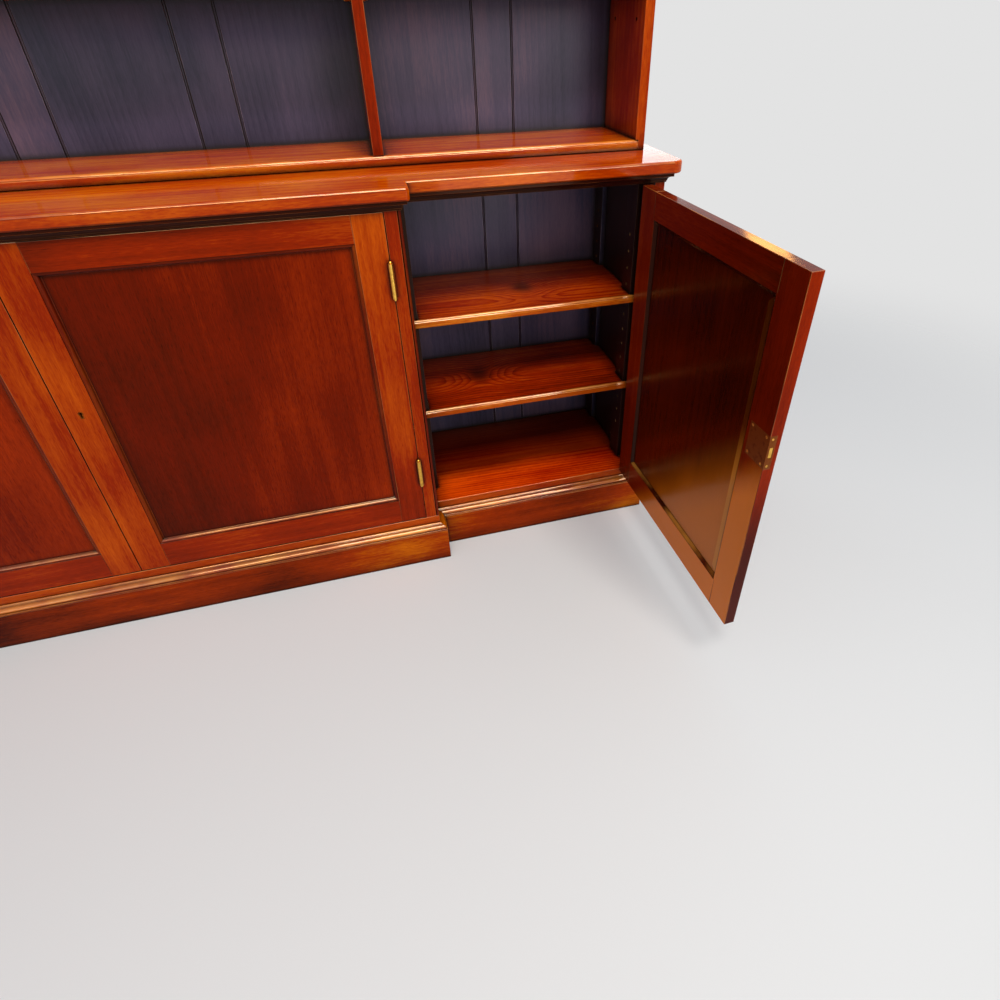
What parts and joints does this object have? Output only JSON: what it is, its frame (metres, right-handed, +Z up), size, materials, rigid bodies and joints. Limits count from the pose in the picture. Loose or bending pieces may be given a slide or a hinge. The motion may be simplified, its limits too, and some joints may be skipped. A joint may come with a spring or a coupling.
{
  "type": "breakfront bookcase",
  "caption": "Breakfront bookcase in polished mahogany: a cupboard base with panelled doors under a straight open bookcase with a cornice.",
  "frame": {"origin": "on the floor, at the middle of the base's width and depth, under the plinth's middle bearer", "axes": "+X to the right seen from the front, +Y to the back, +Z up; the doors face -Y"},
  "size_m": [2.52, 0.8374, 2.2],
  "materials": {
    "polished_mahogany": "high-gloss French polish over red-brown mahogany",
    "polished_pine": "red-brown stained and polished knotty pine",
    "dark_stained_pine": "dark blue-grey stained pine, half matt",
    "bare_pine": "unpolished aged pine",
    "brass": "worn polished brass"
  },
  "bodies": {
    "carcase": {"plinth_front_boards": "polished_mahogany", "plinth_side_boards": "polished_mahogany", "plinth_inner_rails": "bare_pine", "plinth_moulding": "polished_mahogany", "base_floor_boards": "polished_pine", "base_end_panels": "polished_mahogany", "base_divisions": "polished_mahogany", "base_centre_stiles": "polished_mahogany", "base_top_rails": "polished_mahogany", "base_back_boards": "dark_stained_pine", "base_top": "polished_mahogany", "bed_moulding": "polished_mahogany", "shelf_uprights": "dark_stained_pine", "shelf_pegs": "brass", "wing_shelves": "polished_pine", "centre_shelves": "polished_pine", "upper_bottom_board": "polished_mahogany", "upper_end_panels": "polished_mahogany", "upper_divisions": "polished_mahogany", "upper_top_board": "bare_pine", "upper_back_boards": "dark_stained_pine", "frieze_rail": "polished_mahogany", "cornice_moulding": "polished_mahogany", "upper_wing_shelves": "polished_mahogany", "upper_centre_shelves": "polished_mahogany", "carcase_hinge_leaves": "brass"},
    "right_wing_door": {"right_wing_door_hinge_stile": "polished_mahogany", "right_wing_door_lock_stile": "polished_mahogany", "right_wing_door_top_rail": "polished_mahogany", "right_wing_door_bottom_rail": "polished_mahogany", "right_wing_door_panel": "polished_mahogany", "right_wing_door_hinges": "brass", "right_wing_door_lock": "brass"},
    "right_wing_door_lock_bolt": {"right_wing_door_lock_bolt": "brass"},
    "left_wing_door": {"left_wing_door_hinge_stile": "polished_mahogany", "left_wing_door_lock_stile": "polished_mahogany", "left_wing_door_top_rail": "polished_mahogany", "left_wing_door_bottom_rail": "polished_mahogany", "left_wing_door_panel": "polished_mahogany", "left_wing_door_hinges": "brass", "left_wing_door_lock": "brass"},
    "left_wing_door_lock_bolt": {"left_wing_door_lock_bolt": "brass"},
    "right_centre_door": {"right_centre_door_hinge_stile": "polished_mahogany", "right_centre_door_lock_stile": "polished_mahogany", "right_centre_door_top_rail": "polished_mahogany", "right_centre_door_bottom_rail": "polished_mahogany", "right_centre_door_panel": "polished_mahogany", "right_centre_door_hinges": "brass", "right_centre_door_lock": "brass"},
    "right_centre_door_lock_bolt": {"right_centre_door_lock_bolt": "brass"},
    "left_centre_door": {"left_centre_door_hinge_stile": "polished_mahogany", "left_centre_door_meeting_stile": "polished_mahogany", "left_centre_door_top_rail": "polished_mahogany", "left_centre_door_bottom_rail": "polished_mahogany", "left_centre_door_panel": "polished_mahogany", "left_centre_door_hinges": "brass", "left_centre_door_slip_bolt_plates": "brass"},
    "left_centre_door_top_bolt": {"left_centre_door_top_bolt": "brass"},
    "left_centre_door_bottom_bolt": {"left_centre_door_bottom_bolt": "brass"}
  },
  "joints": [
    {"name": "right_wing_door_swing", "type": "hinge", "parent": "carcase", "child": "right_wing_door", "pos_m": [1.17525, -0.139, 0.4325], "axis": [0, 0, 1], "range_deg": [-92, 73]},
    {"name": "left_wing_door_swing", "type": "hinge", "parent": "carcase", "child": "left_wing_door", "pos_m": [-1.17525, -0.139, 0.4325], "axis": [0, 0, -1], "range_deg": [0, 165]},
    {"name": "right_centre_door_swing", "type": "hinge", "parent": "carcase", "child": "right_centre_door", "pos_m": [0.62925, -0.189, 0.4325], "axis": [0, 0, 1], "range_deg": [0, 135]},
    {"name": "left_centre_door_swing", "type": "hinge", "parent": "carcase", "child": "left_centre_door", "pos_m": [-0.62925, -0.189, 0.4325], "axis": [0, 0, -1], "range_deg": [0, 135]},
    {"name": "right_wing_lock_throw", "type": "slide", "parent": "right_wing_door", "child": "right_wing_door_lock_bolt", "axis": [0.0349, -0.9994, 0], "range_m": [0, 0.008]},
    {"name": "left_wing_lock_throw", "type": "slide", "parent": "left_wing_door", "child": "left_wing_door_lock_bolt", "axis": [1, 0, 0], "range_m": [0, 0.008]},
    {"name": "right_centre_lock_throw", "type": "slide", "parent": "right_centre_door", "child": "right_centre_door_lock_bolt", "axis": [-1, 0, 0], "range_m": [0, 0.008]},
    {"name": "top_slip_bolt_throw", "type": "slide", "parent": "left_centre_door", "child": "left_centre_door_top_bolt", "axis": [0, 0, 1], "range_m": [0, 0.011]},
    {"name": "bottom_slip_bolt_throw", "type": "slide", "parent": "left_centre_door", "child": "left_centre_door_bottom_bolt", "axis": [0, 0, -1], "range_m": [0, 0.011]}
  ]
}
